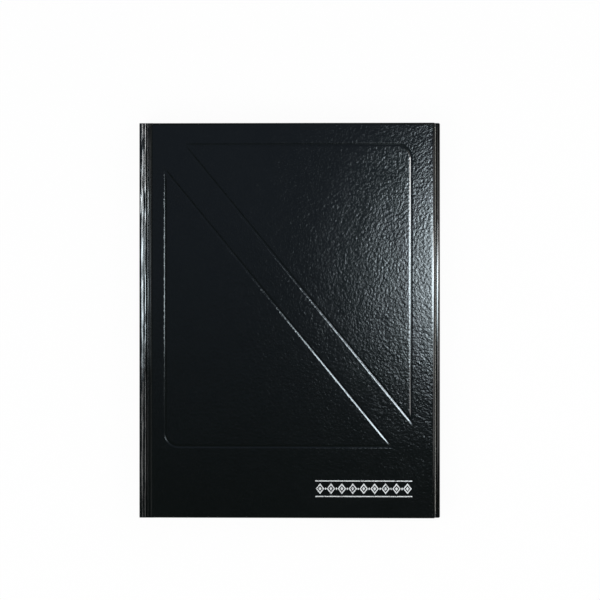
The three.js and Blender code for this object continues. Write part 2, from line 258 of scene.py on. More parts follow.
def add_node(tree, kind, settings=(), **values):
    node = tree.nodes.new("ShaderNode" + kind)
    for key, value in dict(settings).items():
        setattr(node, key, value)
    for key, value in values.items():
        socket = node.inputs[int(key[1:])] if key[0] == "i" else node.inputs[key]
        if isinstance(value, bpy.types.NodeSocket):
            tree.links.new(value, socket)
        else:
            socket.default_value = value
    return node


def maths(tree, operation, first, second=0.0, clamp=False):
    return add_node(
        tree, "Math", {"operation": operation, "use_clamp": clamp}, i0=first, i1=second
    ).outputs[0]


def fade(tree, value, low, high, out_low=0.0, out_high=1.0):
    node = add_node(tree, "MapRange", {"interpolation_type": "SMOOTHSTEP"}, i0=value)
    for index, number in zip((1, 2, 3, 4), (low, high, out_low, out_high)):
        node.inputs[index].default_value = number
    return node.outputs[0]


def clouds(tree, place, scale, detail, **values):
    """Soft random spots between 0 and 1, so many to a metre."""
    return add_node(tree, "TexNoise", Vector=place, Scale=scale, Detail=detail, **values).outputs[0]


def blend_colours(tree, share, first, second):
    node = add_node(tree, "Mix", {"data_type": "RGBA", "blend_type": "MIX"})
    for index, value in zip((0, 6, 7), (share, first, second)):
        if isinstance(value, bpy.types.NodeSocket):
            tree.links.new(value, node.inputs[index])
        else:
            node.inputs[index].default_value = value
    return node.outputs[2]


def opaque(colour, level=1.0):
    return (*[part * level for part in colour], 1)


# %% Material helpers
def new_material(name, colour, roughness):
    material = bpy.data.materials.new(name)
    material.use_nodes = True
    shader = material.node_tree.nodes["Principled BSDF"]
    shader.inputs["Base Color"].default_value = opaque(colour)
    shader.inputs["Roughness"].default_value = roughness
    return material, material.node_tree, shader


def place_on_piece(tree):
    return add_node(tree, "TexCoord").outputs["Object"]


def split_place(tree, place):
    return add_node(tree, "SeparateXYZ", i0=place).outputs


def set_surface(tree, shader, base, height, strength, depth):
    """Gives a shader its colour, and the relief of a height in mm."""
    bump = add_node(tree, "Bump", Height=height, Strength=strength, Distance=depth * MM)
    tree.links.new(base, shader.inputs["Base Color"])
    tree.links.new(bump.outputs[0], shader.inputs["Normal"])


# %% Pebble grain group
pebbles_per_metre = 720.0
pebble_drift = (0.7 * MM, 0.9 * MM, 0.7 * MM)
drift_scale = 400.0
valley_width = 0.14
pebble_height = 0.4
tilt_scale = 480.0
tilt_height = 5.2
fine_scale = 2600.0
fine_height = 0.12


def make_grain_group():
    group, enter, leave = new_group(
        "Pebble grain",
        [
            ("Vector", "NodeSocketVector", None),
            ("Pebbles per metre", "NodeSocketFloat", pebbles_per_metre),
            ("Flatness", "NodeSocketFloat", 0.0),
        ],
        [("Height", "NodeSocketFloat"), ("Valley", "NodeSocketFloat")],
    )
    vector = enter.outputs["Vector"]
    drift = add_node(group, "TexNoise", Vector=vector, Scale=drift_scale, Detail=1.0)
    shift = add_node(
        group, "VectorMath", {"operation": "MULTIPLY_ADD"}, i0=drift.outputs["Color"]
    )
    shift.inputs[1].default_value = pebble_drift
    group.links.new(vector, shift.inputs[2])
    pebbles = add_node(
        group, "TexVoronoi", {"feature": "DISTANCE_TO_EDGE"},
        Vector=shift.outputs[0], Scale=enter.outputs["Pebbles per metre"]
    )
    top = fade(group, pebbles.outputs["Distance"], 0.0, valley_width)
    tilt = clouds(group, vector, tilt_scale, 1.0)
    fine = clouds(group, vector, fine_scale, 1.0)
    # Each height is counted from its own middle, so flattening the grain tilts nothing
    total = 0.0
    for value, its_middle, height in (
            (top, 0.8, pebble_height), (tilt, 0.5, tilt_height), (fine, 0.5, fine_height)):
        part = maths(group, "MULTIPLY", maths(group, "SUBTRACT", value, its_middle), height)
        total = maths(group, "ADD", part, total)
    keep = maths(group, "SUBTRACT", 1.0, enter.outputs["Flatness"], clamp=True)
    group.links.new(maths(group, "MULTIPLY", total, keep), leave.inputs["Height"])
    valley = maths(group, "SUBTRACT", 1.0, top)
    group.links.new(maths(group, "MULTIPLY", valley, keep), leave.inputs["Valley"])
    return group


grain_group = make_grain_group()
print("node groups:", [group.name for group in bpy.data.node_groups])

# %% [markdown]
# The leather is near black with a green tone. Its colour is painted darker in the valleys
# between the pebbles, a painted shade, as the pebbles are only a bump. Where the leather is
# pulled over an edge or pressed by a hot tool, its grain is flattened and it shines more.
# That place is known by height: anything below the flat of a cover.

# %% Leather material
leather_dark = (0.0021, 0.0033, 0.0031)
leather_light = (0.0031, 0.0047, 0.0046)
painted_valley_shade = (0.0014, 0.0022, 0.0021)
tone_scale = 22.0
grain_depth = 0.03
wave_scale = 38.0
wave_height = 8.0
gloss_scale = 140.0
gloss_roughness = (0.1, 0.13)
valley_dullness = 0.03
pressed_from = 0.015
pressed_full = 0.16
pressed_flatness = 0.92


def leather_material(name, flat_share):
    material, tree, shader = new_material(name, leather_light, 0.12)
    place = place_on_piece(tree)
    grain = add_node(tree, "Group", {"node_tree": grain_group}, Vector=place)
    up = maths(tree, "SUBTRACT", split_place(tree, place)["Z"], middle * MM)
    up = maths(tree, "ABSOLUTE", up)
    flat = fade(tree, up, (middle - pressed_from) * MM, (middle - pressed_full) * MM,
                flat_share, pressed_flatness)
    tree.links.new(flat, grain.inputs["Flatness"])
    waves = maths(tree, "MULTIPLY", clouds(tree, place, wave_scale, 2.0), wave_height)
    height = maths(tree, "ADD", waves, grain.outputs["Height"])
    tone = clouds(tree, place, tone_scale, 3.0)
    base = blend_colours(tree, tone, opaque(leather_dark), opaque(leather_light))
    # Painted shade: the valleys between the pebbles are coloured darker, as the bump casts no shade.
    base = blend_colours(tree, grain.outputs["Valley"], base, opaque(painted_valley_shade))
    set_surface(tree, shader, base, height, 1.0, grain_depth)
    rough = fade(tree, clouds(tree, place, gloss_scale, 3.0), 0.3, 0.7, *gloss_roughness)
    dull = maths(tree, "MULTIPLY", grain.outputs["Valley"], valley_dullness)
    tree.links.new(maths(tree, "ADD", rough, dull), shader.inputs["Roughness"])
    shader.inputs["IOR"].default_value = 1.52
    return material


cover_leather = leather_material("Cover leather", 0.0)
case_leather = leather_material("Spine and joint leather", 0.8)
print("leathers:", cover_leather.name, "and", case_leather.name)

# %% [markdown]
# The leather of a cover wraps a board: flat on top, round over three edges, turned in inside
# with mitred corners. It is modelled as a plate, rounded by two bevels, then hollowed with
# one cutter for the board and one for the window that the turned-in leather leaves open.

# %% Wrapped leather of a cover
turn_in = 15
corner_round = 1.2
outer_edge_width = 2.6
inner_edge_width = 3.2
edge_squash = 0.5
room_round = 0.93
cut_clear = 0.003
beyond = 5


def corner_block():
    """A block with two round corners: what is left of the plate inside it is the cover."""
    block = box("corner_block", (cover_start - beyond, -half_length - cut_clear, cover_under - 1),
                (fore_side + cut_clear, half_length + cut_clear, book_top + 1))
    open_piece(block)
    pick(block, "EDGE", lambda e: along(e, 2) and centre(e).x > cover_start)
    bpy.ops.mesh.bevel(offset=corner_round * MM, segments=6, affect="EDGES")
    close_piece()
    return block


def board_room():
    """A cutter that leaves room for the board, with its edges rounded like the leather's."""
    room = box(
        "board_room", (cover_start - beyond, -board_high.y - clearance, board_low.z - clearance),
        (board_high.x + clearance, board_high.y + clearance, board_high.z + clearance))
    open_piece(room)
    pick(room, "EDGE", lambda e: centre(e).x > cover_start)
    bpy.ops.mesh.bevel(offset=room_round * MM, segments=4, affect="EDGES")
    close_piece()
    return room


def wrapped_leather(name):
    # The plate is twice as thick while its edges are rounded, so each round comes out flatter
    tall = 1 / edge_squash
    skin = box(name, (cover_start, -half_length, cover_under * tall),
               (fore_side, half_length, book_top * tall))
    open_piece(skin)
    for width, height in ((outer_edge_width, book_top), (inner_edge_width, cover_under)):
        pick(skin, "EDGE", lambda e: (
            not along(e, 2) and near(centre(e).z, height * tall)
            and not near(centre(e).x, cover_start)))
        bpy.ops.mesh.bevel(offset=width * MM, segments=10, affect="EDGES")
    pick_all()
    bpy.ops.transform.resize(value=(1, 1, edge_squash), center_override=(0, 0, 0))
    close_piece()
    block = corner_block()
    modify(skin, "BOOLEAN", operation="INTERSECT", object=block, solver="EXACT")
    bpy.data.objects.remove(block)
    opening = box("opening", (cover_start - beyond, turn_in - half_length, cover_under - 1),
                  (fore_side - turn_in, half_length - turn_in, board_low.z + leather))
    cut_away(skin, board_room(), opening)
    return skin


front_skin = wrapped_leather("front_leather")
print("front leather has", len(front_skin.data.polygons), "faces")

# %% [markdown]
# Two triangles of pressed lines face each other over a diagonal band. A line is a soft
# groove. Its outer half is cut by a stamp: a triangle whose underside is inset and sunk in
# steps. Its inner half comes from the same steps the other way, so the field inside the
# triangle rises back to the height of the cover. Insets keep every corner sharp and even.

# %% Places of the pressed lines
line_left = spine_side + 19.1
line_right = fore_side - 17.6
line_top = half_length - 15.8
line_bottom = 51.7 - half_length
band_across = 14
band_down = 18.3
line_corner = 10
floor_half = 0.12
slopes = ((0.45, 0.036), (0.4, 0.068), (0.45, 0.142), (0.2, 0.04))
line_half = floor_half + sum(step for step, depth in slopes)
line_floor = book_top - sum(depth for step, depth in slopes)
print("pressed lines are", round(2 * line_half, 2), "mm wide")

# %% The stamp for one triangle
stamp_lift = 0.01
stamp_spare = 60


def triangle_stamp(turned):
    low = Vector((line_left + band_across, line_bottom + band_down))
    high = Vector((line_right, line_top))
    grow = line_half
    under = book_top + stamp_lift
    # The plane is larger than the triangle, because the slanted side also moves outwards
    reach = grow - stamp_spare
    stamp = flat_plane((low.x + reach, low.y + reach), (high.x + grow, high.y + grow), under)
    slant = Vector((high.x - low.x, -(high.y - low.y))).normalized()
    away = Vector((slant.y, -slant.x))
    start = Vector((low.x, high.y)) + away * grow
    open_piece(stamp)
    pick_all()
    bpy.ops.mesh.bisect(
        plane_co=(start.x * MM, start.y * MM, under * MM),
        plane_no=(away.x, away.y, 0), clear_outer=True, threshold=1e-6)
    pick(stamp, "VERT", lambda v: (
        near(v.co.x / MM, high.x + grow) and near(v.co.y / MM, high.y + grow)))
    bpy.ops.mesh.bevel(offset=(line_corner + grow) * MM, segments=10, affect="VERTICES")
    bpy.ops.mesh.select_mode(type="FACE")
    pick_all()
    extrude(0, 0, 1)
    face_outwards()
    pick(stamp, "FACE", lambda f: near(centre(f).z, under))
    for number, (step, depth) in enumerate(slopes):
        deeper = depth + (stamp_lift if number == 0 else 0)
        bpy.ops.mesh.inset(thickness=step * MM, depth=deeper * MM)
    if turned:
        turn_half("Z", (line_left + line_right) / 2, (line_top + line_bottom) / 2, book_top)
    close_piece()
    return stamp


# %% Press both triangles
long_strip = 40
around = 5
cut_away(front_skin, triangle_stamp(False), triangle_stamp(True))
open_piece(front_skin)
pressed = pick(front_skin, "FACE", lambda f: (
    near(centre(f).z, line_floor, 0.02) and f.normal.z > 0.99))
bpy.ops.mesh.inset(thickness=2 * floor_half * MM, depth=0)
for step, depth in reversed(slopes):
    bpy.ops.mesh.inset(thickness=step * MM, depth=depth * MM)
# Long strips of a slope are divided, so that the shading of a corner stays at the corner
pick(front_skin, "EDGE", lambda e: (
    e.calc_length() > long_strip * MM and centre(e).z > line_floor - 0.01
    and line_left - around < centre(e).x < line_right + around
    and line_bottom - around < centre(e).y < line_top + around))
bpy.ops.mesh.subdivide(number_cuts=40)
close_piece()
print("pressed fields:", pressed)

# %% Finish the leather of both covers
back_skin = wrapped_leather("back_leather")
turn_to_back(back_skin)
for skin in (front_skin, back_skin):
    smooth(skin, 35, weighted=True)
    finish_piece(skin, cover_leather)
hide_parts("front_cover_leather")
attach(front_skin, "front_cover")
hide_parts("back_cover_leather")
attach(back_skin, "back_cover")

# %% [markdown]
# The cover carries an ornament in silver foil: a row of lozenges between two thin rules.
# Foil is pressed on with a hot stamp, so it is very thin, and it wears off in specks. Each
# lozenge is a circle of four points, opened to a frame by an inset, and given a thickness.

# %% Silver foil
silver_dark = (0.5, 0.5, 0.49)
silver_light = (0.72, 0.73, 0.73)
foil_worn = (0.03, 0.034, 0.036)
foil_metal = 0.4
speck_scale = 1500.0
patch_scale = 160.0


def foil_material():
    material, tree, shader = new_material("Silver foil", silver_light, 0.5)
    place = place_on_piece(tree)
    specks = clouds(tree, place, speck_scale, 3.0)
    patches = clouds(tree, place, patch_scale, 2.0)
    wear = maths(tree, "ADD", specks, maths(tree, "MULTIPLY", patches, 0.6))
    worn = fade(tree, wear, 0.86, 0.98)
    base = blend_colours(tree, patches, opaque(silver_dark), opaque(silver_light))
    base = blend_colours(tree, worn, base, opaque(foil_worn))
    set_surface(tree, shader, base, specks, 0.5, 0.02)
    metal = maths(tree, "MULTIPLY", maths(tree, "SUBTRACT", 1.0, worn), foil_metal)
    tree.links.new(metal, shader.inputs["Metallic"])
    return material


foil = foil_material()
foil_depth = 0.03
foil_low = book_top - 0.01
row_start = 24.4
row_pitch = 8
row_y = -121.7
lozenges = 9
rule_gap = 5.6
rule_width = 0.75
rule_past = 3.6
print("foil reaches", foil_low + foil_depth, "mm")


def raise_foil(shape):
    open_piece(shape)
    pick_all()
    extrude(0, 0, foil_depth)
    face_outwards()
    close_piece()
    return shape


def lozenge(x, half_width, half_height, frame_width=None):
    let_go()
    bpy.ops.mesh.primitive_circle_add(vertices=4, radius=1, fill_type="NGON")
    shape = bpy.context.object
    shape.scale = (half_width * MM, half_height * MM, 1)
    shape.location = (x * MM, row_y * MM, foil_low * MM)
    settle(shape)
    if frame_width:
        open_piece(shape)
        pick_all()
        bpy.ops.mesh.inset(thickness=frame_width * MM)
        pick(shape, "FACE", lambda f: (
            near(centre(f).x, x, 0.001) and near(centre(f).y, row_y, 0.001)))
        bpy.ops.mesh.delete(type="FACE")
        close_piece()
    return raise_foil(shape)


def rule(y, start, end):
    shape = flat_plane((start, y - rule_width / 2), (end, y + rule_width / 2), foil_low)
    open_piece(shape)
    pick(shape, "VERT", lambda v: True)
    bpy.ops.mesh.bevel(offset=rule_width * 0.45 * MM, segments=4, affect="VERTICES")
    close_piece()
    return raise_foil(shape)


# %% Foil ornament
foil_shapes = []
for number in range(lozenges):
    x = row_start + number * row_pitch
    foil_shapes.append(lozenge(x, 3.1, 3.9, 0.85))
    foil_shapes.append(lozenge(x, 1.05, 1.4))
    if number < lozenges - 1:
        foil_shapes.append(lozenge(x + row_pitch / 2, 0.8, 0.95))
row_end = row_start + (lozenges - 1) * row_pitch
for way in (1, -1):
    foil_shapes.append(rule(row_y + way * rule_gap, row_start - rule_past, row_end + rule_past))
ornament = join("foil_ornament", foil_shapes)
finish_piece(ornament, foil)
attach(ornament, "front_cover")

# %% [markdown]
# The spine is a stiff board under leather, with a round shoulder and a crest on each side.
# The outline of the bar is drawn as a closed curve, filled and drawn out along the spine,
# then hollowed for the board and opened between its two turned-in ends. A lip along each
# long side leaves room for the joint.

# %% Outline of the spine
# Each point is a distance from the outer face of the spine, and a depth below the top
shoulder_line = [
    (2.4, 0.34), (2.03, 0.2), (1.7, 0.09), (1.35, 0.015), (1.1, 0), (0.75, 0.05), (0.42, 0.22),
    (0.18, 0.5), (0.04, 0.9), (0, 1.3), (0, 3),
]
joint_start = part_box("front_joint_leather")[0].x / MM
spine_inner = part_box("spine_leather")[1].x / MM
spine_low, spine_high = (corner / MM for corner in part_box("spine_board"))
groove_end = 6.3
rows_along = 143
end_round = 0.35
spine_room_round = 1.43


def draw_curve(name, points, half, fineness, closed=False):
    """Draws a smooth line through points in X and Z, and makes it a mesh."""
    let_go()
    bpy.ops.curve.primitive_bezier_curve_add()
    curve = bpy.context.object
    curve.name = name
    curve.data.resolution_u = fineness
    line = curve.data.splines[0]
    line.use_cyclic_u = closed
    line.bezier_points.add(len(points) - len(line.bezier_points))
    for number, (knot, (x, z)) in enumerate(zip(line.bezier_points, points)):
        corner = closed and number in (0, len(points) - 1)
        knot.handle_left_type = knot.handle_right_type = "VECTOR" if corner else "AUTO"
        knot.co = (x * MM, -half * MM, z * MM)
    alone(curve)
    bpy.ops.object.convert(target="MESH")
    settle(curve)
    open_piece(curve)
    bpy.ops.mesh.select_mode(type="EDGE")
    pick_all()
    return curve


# %% Spine leather
def spine_bar():
    upper = [(spine_side + u, book_top - d) for u, d in shoulder_line]
    lower = [(x, book_top - z) for x, z in reversed(upper)]
    bar = draw_curve("spine_skin", upper + lower, half_length, 3, closed=True)
    bpy.ops.mesh.remove_doubles(threshold=1e-6)
    bpy.ops.mesh.edge_face_add()
    extrude(0, 2 * half_length, 0)
    face_outwards()
    pick(bar, "EDGE", lambda e: (
        abs(centre(e).y) > half_length - 0.01 and not near(centre(e).x, spine_inner)))
    bpy.ops.mesh.bevel(offset=end_round * MM, segments=3, affect="EDGES")
    pick(bar, "EDGE", lambda e: along(e, 1) and e.calc_length() > half_length * MM)
    bpy.ops.mesh.subdivide(number_cuts=rows_along)
    close_piece()
    return bar


def swell(x, y):
    """How far the leather of the ridge stands off, in mm, at a place of the front side."""
    across = x - spine_side
    if across > groove_end or across < 0.2:
        return 0
    share = min(1, (across - 0.2) / 1.2) * min(1, groove_end - across)
    long_wave = noise.noise(Vector((across * 0.25, y * 0.035, 3)))
    short_wave = noise.noise(Vector((across * 0.9, y * 0.11, 7)))
    return share * (0.16 * long_wave + 0.12 * short_wave - 0.12)


def ripple(piece):
    for vert in piece.data.vertices:
        x, y, z = vert.co / MM
        if z > middle + 4:
            vert.co.z += swell(x, y) * MM
        elif z < middle - 4:
            vert.co.z -= swell(x, -y) * MM


spine_skin = spine_bar()
ripple(spine_skin)
room = box("spine_room",
           (spine_low.x - clearance, -board_high.y - clearance, spine_low.z - clearance),
           (spine_inner - leather + clearance, board_high.y + clearance,
            spine_high.z + clearance))
open_piece(room)
pick(room, "EDGE", lambda e: along(e, 1) and centre(e).x < spine_low.x)
bpy.ops.mesh.bevel(offset=spine_room_round * MM, segments=6, affect="EDGES")
close_piece()

# %% Open the spine leather
lip = 1.2 * leather
past_side = spine_inner + 1
past_end = half_length + 1
past_top = book_top + 1
cut_away(
    spine_skin,
    room,
    box("opening", (spine_inner - leather, turn_in - half_length, -1),
        (past_side, half_length - turn_in, past_top)),
    box("low_lip", (joint_start, -past_end, -1), (past_side, past_end, lip)),
    box("high_lip", (joint_start, -past_end, book_top - lip), (past_side, past_end, past_top)),
)
smooth(spine_skin, 35, weighted=True)
finish_piece(spine_skin, case_leather)
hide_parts("spine_leather")
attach(spine_skin, "text_block")

# %% [markdown]
# Between the spine and a board the leather makes a ridge with two crests, dips into the
# joint and climbs the edge of the board. That line is drawn once as a smooth curve, drawn
# out along the spine, rippled, and given its thickness. The front joint has two hinges, one
# after the other, so its leather is two pieces that meet at the floor of the groove.

# %% Line of the joint
ridge_line = [
    (2.03, 0.2), (2.4, 0.34), (2.8, 0.5), (3.15, 0.56), (3.55, 0.4), (3.9, 0.27), (4.15, 0.31),
    (4.5, 0.45), (4.8, 0.6), (5.1, 0.92), (5.4, 1.5), (5.7, 2.1), (6.0, 2.45), (6.25, 2.55),
    (6.75, 2.5), (7.4, 2.1), (8.0, 1.5), (8.6, 0.82), (9.1, 0.35), (9.6, 0.08), (10.2, 0),
]
ridge_start = 2
groove_place = 6.25
climb_end = 10.2
groove_x = spine_side + groove_place


def draw_out(name, points, half, cuts, bend_steps=5):
    """Draws a curve through points in X and Z, and draws it out along the spine."""
    line = draw_curve(name, points, half, bend_steps)
    extrude(0, 2 * half, 0)
    pick(line, "EDGE", lambda e: along(e, 1))
    bpy.ops.mesh.subdivide(number_cuts=cuts)
    close_piece()
    return line


def thicken(piece, thickness):
    """Turns a sheet's faces up, and gives it its thickness below them."""
    open_piece(piece)
    pick_all()
    mesh = bmesh.from_edit_mesh(piece.data)
    if sum(face.normal.z for face in mesh.faces) <= 0:
        bpy.ops.mesh.flip_normals()
    close_piece()
    modify(piece, "SOLIDIFY", thickness=thickness * MM, offset=-1, use_even_offset=True)


def across(start, end):
    return (start * MM, 0, 0), (end * MM, 0, 0)


# %% Joint leather
def joint_strip(name, first, last):
    points = [(spine_side + u, book_top - d) for u, d in ridge_line if first <= u <= last]
    strip = draw_out(name, points, half_length, rows_along)
    for vert in strip.data.vertices:
        vert.co.z += swell(vert.co.x / MM, vert.co.y / MM) * MM
    thicken(strip, leather)
    smooth(strip, 60)
    return strip


ridge_strip = joint_strip("front_ridge_leather", ridge_start, groove_place)
climb_strip = joint_strip("front_climb_leather", groove_place, climb_end)
back_strip = joint_strip("back_joint_skin", ridge_start, climb_end)
turn_to_back(back_strip)
for strip in (ridge_strip, climb_strip, back_strip):
    finish_piece(strip, case_leather)
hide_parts("front_joint_leather")
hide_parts("back_joint_leather")
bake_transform(ridge_strip)
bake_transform(climb_strip)
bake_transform(back_strip)

# %% [markdown]
# Ledger paper is smooth, cream, and ruled for cash: pale blue rows, and red columns for the
# date, the text and the sums. The rules are bands of a repeating coordinate, masked to the
# printed field, so they stay off the cut edges. No words or figures are printed on it.
# On the cut edges the leaves show as fine layers, some of them a little darker.

# %% Patterns of the paper
paper_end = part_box("section_2")[1]
cut_rim = 0.4 * MM
layers_per_metre = 1900
field_middle = 3
field_half_width = 97
field_half_height = 130
row_half_pitch = 4
row_half_width = 0.12
head_rule = 116.1
columns = (-78, -60, 12, 12.8, 36, 44, 44.8, 68, 76, 76.8, 94)
column_width = 0.22
head_rules = (116.2, 117.2, 129.8)
head_rule_width = 0.25
row_blue = (0.3, 0.46, 0.6, 1)
rule_red = (0.62, 0.13, 0.12, 1)


def within(tree, value, at, half):
    """1 where a value lies within a half width of a place given in mm, else 0."""
    off = maths(tree, "SUBTRACT", value, at * MM)
    return maths(tree, "LESS_THAN", maths(tree, "ABSOLUTE", off), half * MM)


def cut_edge(tree, x, y):
    """1 on the cut edges of the leaves, else 0."""
    inside = [corner - cut_rim for corner in (paper_end.x, paper_end.y)]
    at_fore = fade(tree, x, inside[0], inside[0] + cut_rim / 2)
    at_ends = fade(tree, maths(tree, "ABSOLUTE", y), inside[1], inside[1] + cut_rim / 2)
    return maths(tree, "MAXIMUM", at_fore, at_ends)


def most(tree, masks):
    total = masks[0]
    for mask in masks[1:]:
        total = maths(tree, "MAXIMUM", total, mask)
    return total


def ruled_page(tree, base, x, y):
    """Prints the rows and the columns of a cash page over a base colour."""
    field = maths(tree, "MULTIPLY", within(tree, y, 0, field_half_height),
                  within(tree, x, field_middle, field_half_width))
    row = maths(tree, "PINGPONG", y, row_half_pitch * MM)
    rows = maths(tree, "LESS_THAN", row, row_half_width * MM)
    rows = maths(tree, "MULTIPLY", rows, maths(tree, "LESS_THAN", y, head_rule * MM))
    lines = [within(tree, x, at, column_width / 2) for at in columns]
    lines += [within(tree, y, at, head_rule_width / 2) for at in head_rules]
    for mask, strength, ink in ((rows, 0.75, row_blue), (most(tree, lines), 0.8, rule_red)):
        printed = maths(tree, "MULTIPLY", maths(tree, "MULTIPLY", mask, field), strength)
        base = blend_colours(tree, printed, base, ink)
    return base


# %% Paper materials
fibre_scale = 1500.0
cloud_scale = 90.0


def paper_material(name, colour, ruled):
    material, tree, shader = new_material(name, colour, 0.75)
    place = place_on_piece(tree)
    split = split_place(tree, place)
    fibre = clouds(tree, place, fibre_scale, 3.0)
    cloud = clouds(tree, place, cloud_scale, 2.0)
    base = blend_colours(tree, cloud, opaque(colour, 0.93), opaque(colour))
    speck = fade(tree, fibre, 0.58, 0.72, 0.0, 0.35)
    base = blend_colours(tree, speck, base, opaque(colour, 0.86))
    layers = add_node(tree, "Mapping", Vector=place)
    layers.inputs["Scale"].default_value = (6, 6, layers_per_metre)
    layers = fade(tree, clouds(tree, layers.outputs[0], 1.0, 4.0), 0.42, 0.66, 0.0, 0.55)
    layers = maths(tree, "MULTIPLY", layers, cut_edge(tree, split["X"], split["Y"]))
    base = blend_colours(tree, layers, base, opaque(colour, 0.62))
    if ruled:
        base = ruled_page(tree, base, split["X"], split["Y"])
    set_surface(tree, shader, base, fibre, 0.35, 0.02)
    return material


ledger_paper = paper_material("Ledger paper", (0.8, 0.77, 0.66), True)
endpaper = paper_material("Endpaper", (0.82, 0.8, 0.73), False)
print("papers:", ledger_paper.name, "and", endpaper.name)

# %% [markdown]
# The block is eight sections, each of eleven sheets folded in half, one inside the other.
# One sheet is a leaf, an arc round the fold and a second leaf: an extrusion, a spin and an
# extrusion. The leaves lie even and close, and open a little at the fold round the thread.

# %% Sizes of the folded sheets
sheets = 11
sheet_thickness = 0.075
fold_pitch = 0.08
section_boxes = [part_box(f"section_{number}") for number in range(1, 9)]
section_thick = (section_boxes[1][1].z - section_boxes[1][0].z) / MM
fold_x = section_boxes[0][0].x / MM + section_thick / 2
leaf_end = section_boxes[1][1].x / MM
leaf_half = section_boxes[1][1].y / MM
even_from = fold_x + 4.5
print("a section is", round(section_thick, 2), "mm thick and has", sheets, "sheets")


def sheet_heights(index):
    """Height off the middle of the section, at the fold and where the leaves lie even."""
    pitch = section_thick / 2 / sheets
    even = section_thick / 2 - pitch * (index + 0.5)
    fold = section_thick / 2 - sheet_thickness / 2 - fold_pitch * index
    return fold, even


def uneven(index, number):
    """How far a leaf's edges stand off from the even cut, in mm."""
    value = noise.noise(Vector((index * 1.7, number * 2.3, 0.5)))
    return max(-0.12, min(0, 0.12 * value - 0.04))


# %% Folded sheets
def folded_sheet(index, number, mid, upper=True):
    fold, even = sheet_heights(index)
    short = uneven(index, number)
    end, half = leaf_end + short, leaf_half + short
    if upper:
        sheet = flat_plane((even_from, -half), (end, half), mid + even)
    else:
        sheet = flat_plane((fold_x, -half), (fold_x + 0.1, half), mid + fold)
    open_piece(sheet)
    edge_x = even_from if upper else fold_x
    pick(sheet, "EDGE", lambda e: along(e, 1) and near(centre(e).x, edge_x))
    if upper:
        extrude(fold_x - even_from, 0, fold - even)
    bpy.ops.mesh.spin(
        steps=6, angle=math.pi, center=(fold_x * MM, 0, mid * MM), axis=(0, -1, 0),
        use_auto_merge=False)
    extrude(even_from - fold_x, 0, fold - even)
    extrude(end - even_from, 0, 0)
    pick_all()
    bpy.ops.mesh.remove_doubles(threshold=1e-6)
    bpy.ops.mesh.normals_make_consistent(inside=False)
    close_piece()
    modify(sheet, "SOLIDIFY", thickness=sheet_thickness * MM, offset=0)
    return sheet


for number, (low, high) in enumerate(section_boxes, 1):
    mid = high.z / MM - section_thick / 2
    parts = [folded_sheet(i, number, mid, upper=number > 1) for i in range(sheets)]
    section = join(f"section_{number}_sheets", parts)
    smooth(section, 35)
    finish_piece(section, ledger_paper)
    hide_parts(f"section_{number}")
    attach(section, "text_block")

# %% [markdown]
# The front half of section 1 is the part that turns. Its leaves are plain sheets, and a
# strip of each sheet lies at their root, between the block and the leaves.

# %% First leaves
mid_one = section_boxes[0][1].z / MM - section_thick / 2
root_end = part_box("first_leaves")[0].x / MM
root_steps = 16
leaves = []
roots = []
for index in range(sheets):
    fold, even = sheet_heights(index)
    short = uneven(index, 1)
    slope = (even - fold) / (even_from - fold_x)
    root_line = [(fold_x + (root_end - fold_x) * i / root_steps,
                  mid_one + fold + slope * (root_end - fold_x) * i / root_steps)
                 for i in range(root_steps + 1)]
    leaf_line = [root_line[-1], (even_from, mid_one + even), (leaf_end + short, mid_one + even)]
    for name, line, pieces in (("leaf", leaf_line, leaves), ("root", root_line, roots)):
        sheet = draw_out(f"{name}_{index}", line, leaf_half + short, 0, 1)
        thicken(sheet, sheet_thickness)
        pieces.append(sheet)
first_sheets = join("first_leaves_sheets", leaves)
leaf_roots = join("first_leaves_roots", roots)
for piece in (first_sheets, leaf_roots):
    smooth(piece, 60)
    finish_piece(piece, ledger_paper)
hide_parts("first_leaves")
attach(first_sheets, "first_leaves")
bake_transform(leaf_roots)

# %% [markdown]
# The endpaper folds from the flyleaf to the sheet pasted on the board, and the gauze under
# it joins the spine of the block to the board.

# %% Gauze material
gauze_light = (0.76, 0.71, 0.58)
gauze_dark = (0.5, 0.42, 0.28)
gauze_half_pitch = 0.6
gauze_thread = 0.4


def gauze_material():
    material, tree, shader = new_material("Gauze", gauze_light, 0.9)
    split = split_place(tree, place_on_piece(tree))
    threads = []
    for axis in ("X", "Y"):
        off = maths(tree, "PINGPONG", split[axis], gauze_half_pitch * MM)
        threads.append(fade(tree, off, 0.0, gauze_thread * MM, 1.0, 0.0))
    weave = most(tree, threads)
    base = blend_colours(tree, weave, opaque(gauze_dark), opaque(gauze_light))
    set_surface(tree, shader, base, weave, 0.8, 0.1)
    return material


gauze = gauze_material()
print("gauze threads are", 2 * gauze_half_pitch, "mm apart")

# %% Endpaper folds and gauze in the joints
pasted_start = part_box("front_pastedown")[0].x / MM
paper_low, paper_high = (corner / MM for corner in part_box("front_endpaper_joint"))
gauze_low, gauze_high = (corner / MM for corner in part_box("front_joint_mull"))
fly_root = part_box("front_flyleaf")[0].x / MM
gauze_start = gauze_low.x
bend_parts = 24


def joint_sheet(name, start, end, low, high, material):
    """A level sheet over the joint, as high as the node it replaces."""
    points = [(start + (end - start) * i / bend_parts, high.z) for i in range(bend_parts + 1)]
    sheet = draw_out(name, points, high.y, 0, 1)
    thicken(sheet, high.z - low.z)
    smooth(sheet, 60)
    if name.startswith("back"):
        turn_to_back(sheet)
    finish_piece(sheet, material)
    return sheet


def fold_sheet(name):
    return joint_sheet(name, fly_root, pasted_start, paper_low, paper_high, endpaper)


def gauze_sheet(name, start, end):
    return joint_sheet(name, start, end, gauze_low, gauze_high, gauze)


